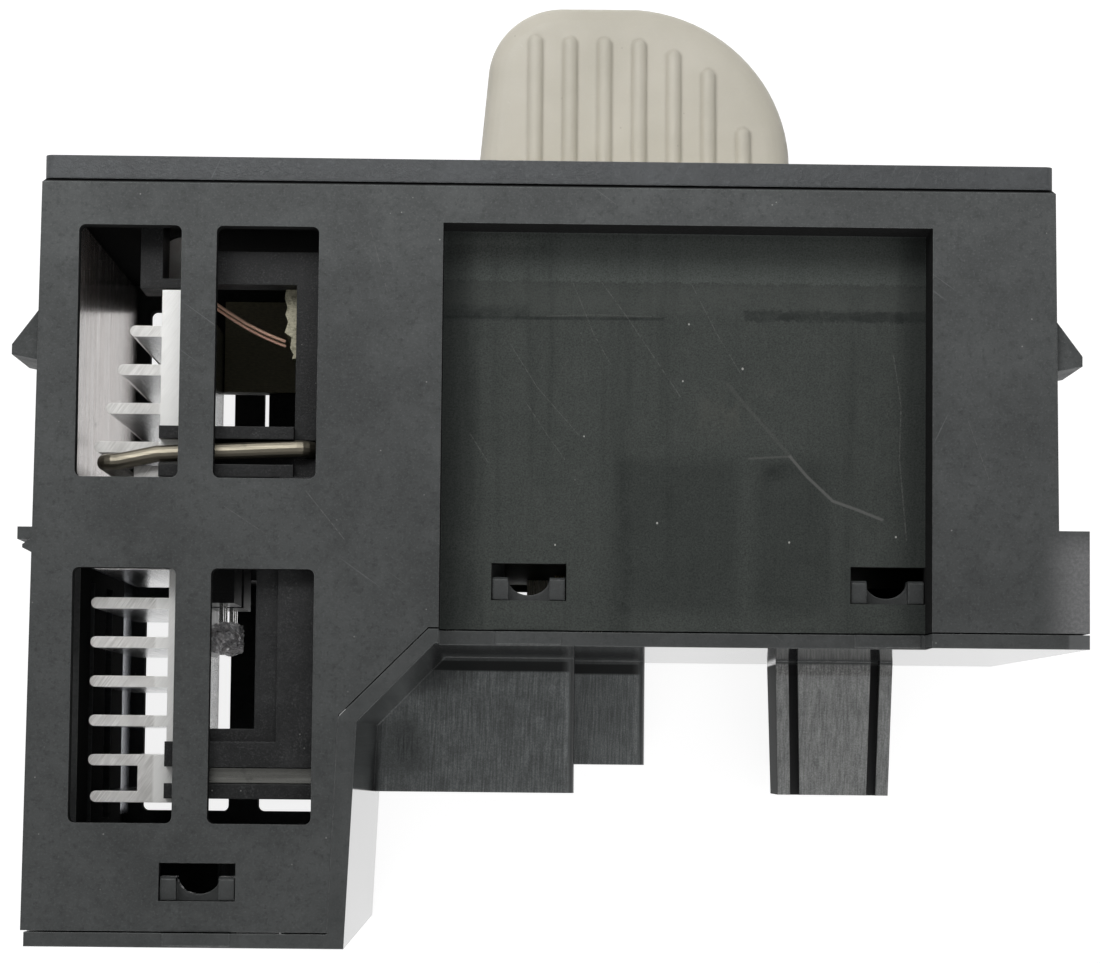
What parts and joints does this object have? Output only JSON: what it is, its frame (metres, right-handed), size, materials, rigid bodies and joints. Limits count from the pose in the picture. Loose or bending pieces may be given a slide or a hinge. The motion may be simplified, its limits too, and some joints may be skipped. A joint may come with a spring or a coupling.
{
  "type": "headlight switch",
  "caption": "Dashboard headlight switch module with a ribbed paddle knob, a dimmer thumbwheel, a finned heat sink in a vented tower and rear plug shrouds.",
  "frame": {"origin": "centre of the front face of the fascia plate", "axes": "+X along the fascia towards the heat sink tower, +Y from the fascia to the rear connectors, +Z out of the large side wall that has the rectangular recess"},
  "size_m": [0.1296, 0.122, 0.0722],
  "materials": {
    "housing_plastic": "fine moulded texture, lightly scratched",
    "fascia_plastic": "grained",
    "plate_aluminium": "brushed",
    "sink_aluminium": "extruded, sawn ends",
    "carrier_plastic": "satin",
    "clip_steel": "drawn",
    "film": "smooth",
    "epoxy": "fine texture",
    "board": "glass fibre laminate",
    "ferrite": "sintered",
    "copper": "enamelled wire",
    "terminal_brass": "tinned",
    "base_plastic": "smooth",
    "pot_plastic": "smooth",
    "knob_plastic": "satin",
    "shaft_steel": "turned",
    "wheel_rubber": "knurled"
  },
  "bodies": {
    "housing": {"main_housing": "housing_plastic", "fascia": "fascia_plastic", "rear_cover": "housing_plastic", "side_plate": "plate_aluminium", "heat_sink": "sink_aluminium", "carrier_frame": "carrier_plastic", "spring_clip_front": "clip_steel", "spring_clip_rear": "clip_steel", "insulating_film": "film", "transistor_front": "epoxy", "transistor_rear": "epoxy", "dimmer_board": "board", "driver_board": "board", "choke_core": "ferrite", "choke_winding": "copper", "main_board": "board", "main_terminals": "terminal_brass", "auxiliary_terminals": "terminal_brass", "switch_base": "base_plastic", "fixed_contacts": "terminal_brass", "contact_pins": "terminal_brass", "detent_spring": "clip_steel", "potentiometer": "pot_plastic"},
    "knob_assembly": {"knob": "knob_plastic", "knob_shaft": "shaft_steel", "retaining_clip": "clip_steel", "rotor": "base_plastic", "contact_bridge": "terminal_brass"},
    "dimmer_wheel": {"thumbwheel": "wheel_rubber", "spindle": "shaft_steel"}
  },
  "joints": [
    {"name": "knob_turn", "type": "hinge", "parent": "housing", "child": "knob_assembly", "pos_m": [-0.0113, 0, 0], "axis": [0, 1, 0], "range_deg": [0, 90], "deforming": ["detent_spring"]},
    {"name": "dimmer_turn", "type": "hinge", "parent": "housing", "child": "dimmer_wheel", "pos_m": [0.02, 0.0126, 0], "axis": [1, 0, 0], "range_deg": [0, 160]}
  ]
}
